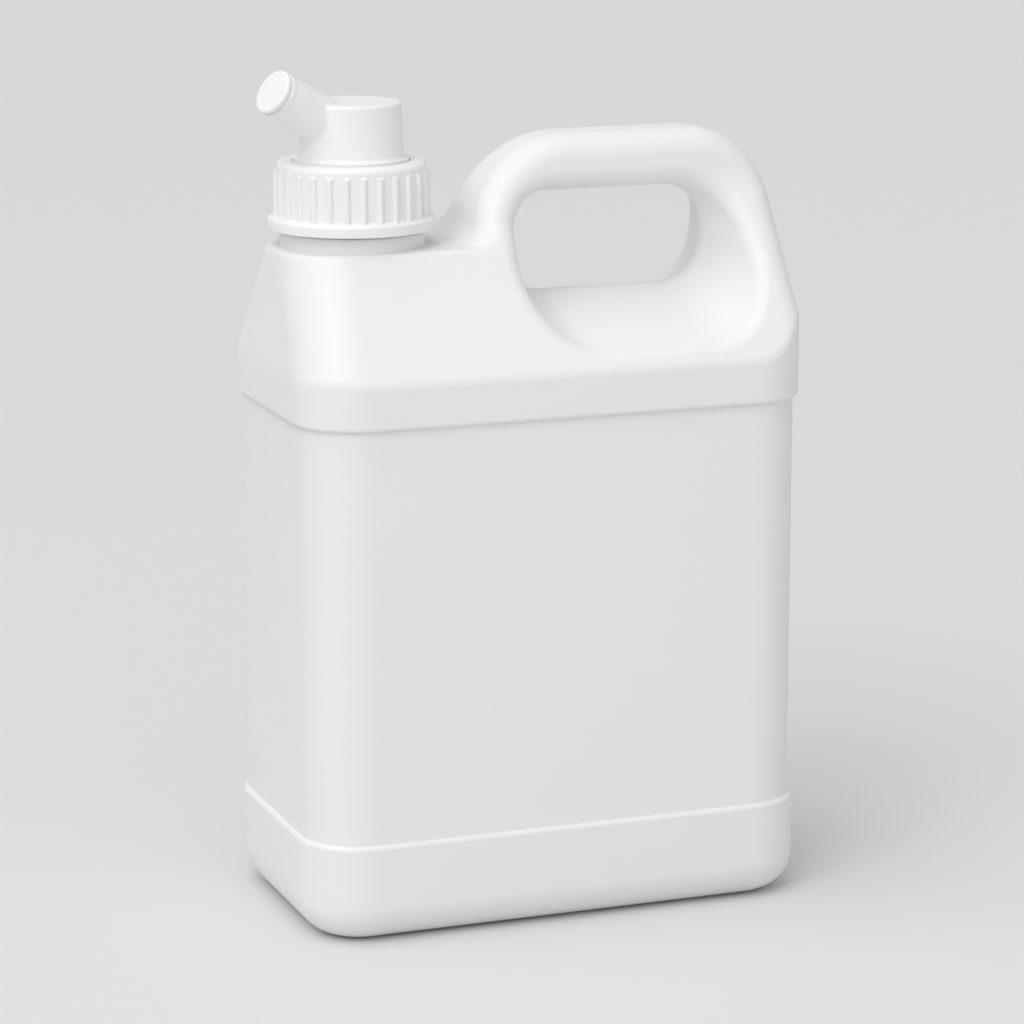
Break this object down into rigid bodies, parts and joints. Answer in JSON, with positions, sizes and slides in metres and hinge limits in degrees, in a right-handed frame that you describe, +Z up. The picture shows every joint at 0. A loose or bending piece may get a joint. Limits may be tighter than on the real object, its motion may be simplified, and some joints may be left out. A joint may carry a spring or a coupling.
{
  "type": "motor oil jug",
  "caption": "Rectangular blow-moulded oil jug with a moulded handle, recessed side panels and a ribbed screw closure with an angled pouring spout.",
  "frame": {"origin": "centre of the bottle's base, on the surface that it stands on", "axes": "+Z up, +X towards the handle, -Y to the front; the neck stands over -X"},
  "size_m": [0.2035, 0.1136, 0.3213],
  "materials": {
    "bottle": "satin white polyethylene",
    "closure": "satin white polyethylene",
    "seal": "matt grey foam"
  },
  "bodies": {
    "jug": {"jug_body": "bottle"},
    "seal": {"gasket": "seal"},
    "collar": {"collar": "closure"},
    "spout": {"spout": "closure"},
    "nozzle_cap": {"nozzle_cap": "closure"}
  },
  "joints": [
    {"name": "closure_lift", "type": "slide", "parent": "jug", "child": "seal", "axis": [0, 0, 1], "range_m": [0, 0.012]},
    {"name": "collar_turn", "type": "hinge", "parent": "seal", "child": "collar", "pos_m": [-0.0655, 0, 0.274], "axis": [0, 0, 1], "range_deg": [0, 720]},
    {"name": "spout_swivel", "type": "hinge", "parent": "seal", "child": "spout", "pos_m": [-0.0655, 0, 0.284], "axis": [0, 0, 1], "continuous": true},
    {"name": "nozzle_cap_pull", "type": "slide", "parent": "spout", "child": "nozzle_cap", "axis": [-0.827, -0.2481, 0.5045], "range_m": [0, 0.025]}
  ],
  "couplings": [
    {"joint": "closure_lift", "follows": "collar_turn", "m_per_rad": 0.00095493}
  ]
}
